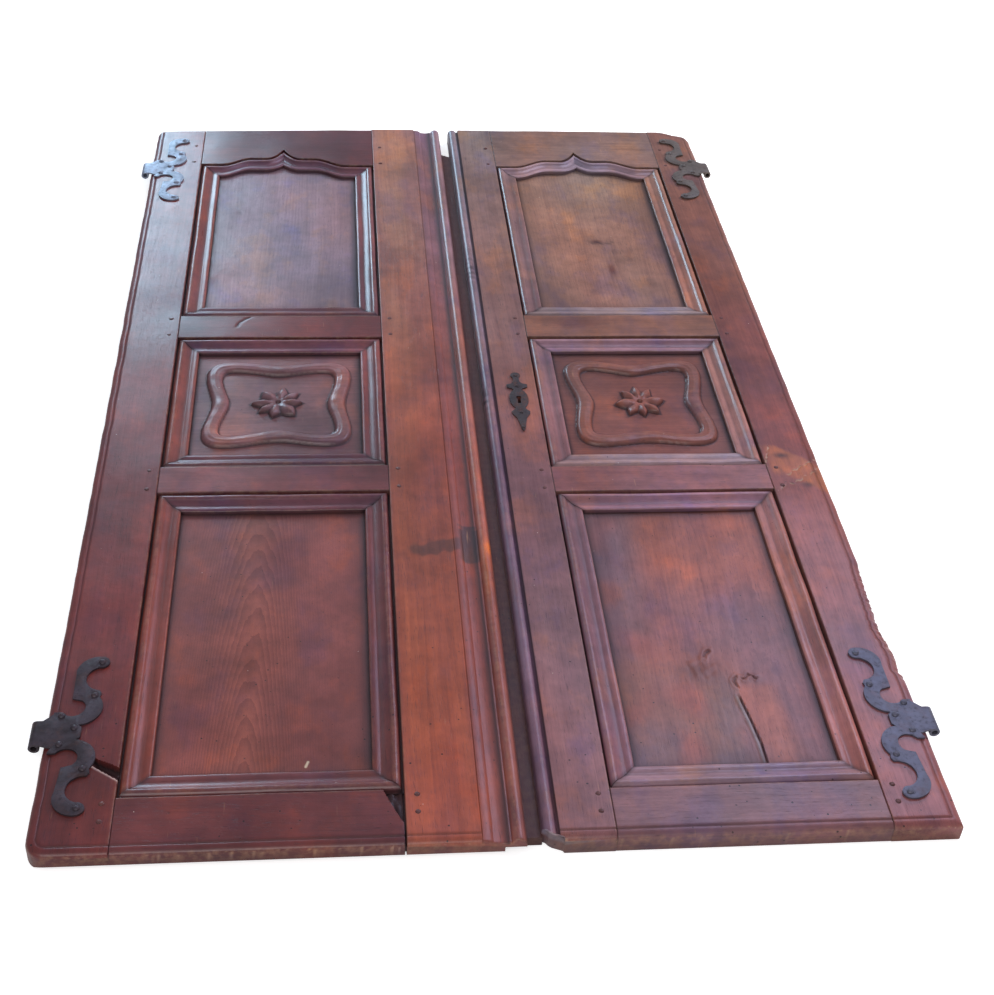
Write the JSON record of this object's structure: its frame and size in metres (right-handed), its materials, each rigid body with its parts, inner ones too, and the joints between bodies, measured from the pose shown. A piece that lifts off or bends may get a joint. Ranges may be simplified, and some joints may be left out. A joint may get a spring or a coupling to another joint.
{
  "type": "double closet door",
  "caption": "Pair of old wooden closet door leaves with moulded and carved panels, forged scroll hinges and a lock, lying side by side.",
  "frame": {"origin": "middle of the pair, on the plane of the leaves' backs", "axes": "+X to the right leaf's hinges, +Y towards the tops, +Z out of the front faces"},
  "size_m": [1.146, 1.885, 0.0338],
  "materials": {
    "frame_wood": "old stained and waxed wood, worn",
    "panel_wood": "old stained and waxed wood, worn",
    "moulding_wood": "old stained and waxed wood, polished on the high edges",
    "peg_wood": "end grain, dark",
    "forged_iron": "forged, dark and waxed",
    "lock_iron": "plain sheet and forged iron"
  },
  "bodies": {
    "leaves": {"left_hinge_stile": "frame_wood", "left_meeting_stile": "frame_wood", "left_cover_strip": "frame_wood", "left_bottom_rail": "frame_wood", "left_lower_rail": "frame_wood", "left_upper_rail": "frame_wood", "left_top_rail": "frame_wood", "left_bottom_panel": "panel_wood", "left_middle_panel": "panel_wood", "left_top_panel": "panel_wood", "left_pegs": "peg_wood", "left_lower_hinge": "forged_iron", "left_upper_hinge": "forged_iron", "left_hinge_nails": "forged_iron", "right_hinge_stile": "frame_wood", "right_meeting_stile": "frame_wood", "right_bottom_rail": "frame_wood", "right_lower_rail": "frame_wood", "right_upper_rail": "frame_wood", "right_top_rail": "frame_wood", "right_bottom_panel": "panel_wood", "right_middle_panel": "panel_wood", "right_top_panel": "panel_wood", "right_pegs": "peg_wood", "right_lower_hinge": "forged_iron", "right_upper_hinge": "forged_iron", "right_hinge_nails": "forged_iron", "left_bottom_moulding_hinge": "moulding_wood", "left_bottom_moulding_meeting": "moulding_wood", "left_bottom_moulding_foot": "moulding_wood", "left_bottom_moulding_head": "moulding_wood", "left_middle_moulding_hinge": "moulding_wood", "left_middle_moulding_meeting": "moulding_wood", "left_middle_moulding_foot": "moulding_wood", "left_middle_moulding_head": "moulding_wood", "left_top_moulding_hinge": "moulding_wood", "left_top_moulding_meeting": "moulding_wood", "left_top_moulding_foot": "moulding_wood", "left_top_moulding_head": "moulding_wood", "right_bottom_moulding_hinge": "moulding_wood", "right_bottom_moulding_meeting": "moulding_wood", "right_bottom_moulding_foot": "moulding_wood", "right_bottom_moulding_head": "moulding_wood", "right_middle_moulding_hinge": "moulding_wood", "right_middle_moulding_meeting": "moulding_wood", "right_middle_moulding_foot": "moulding_wood", "right_middle_moulding_head": "moulding_wood", "right_top_moulding_hinge": "moulding_wood", "right_top_moulding_meeting": "moulding_wood", "right_top_moulding_foot": "moulding_wood", "right_top_moulding_head": "moulding_wood", "escutcheon": "forged_iron", "escutcheon_nails": "forged_iron", "lock_case": "lock_iron", "lock_cover": "lock_iron", "lock_spring": "lock_iron", "lock_nails": "lock_iron"},
    "bolt": {"lock_bolt": "lock_iron"}
  },
  "joints": [
    {"name": "lock_bolt", "type": "slide", "parent": "leaves", "child": "bolt", "axis": [-1, 0, 0], "range_m": [0, 0.012]}
  ]
}
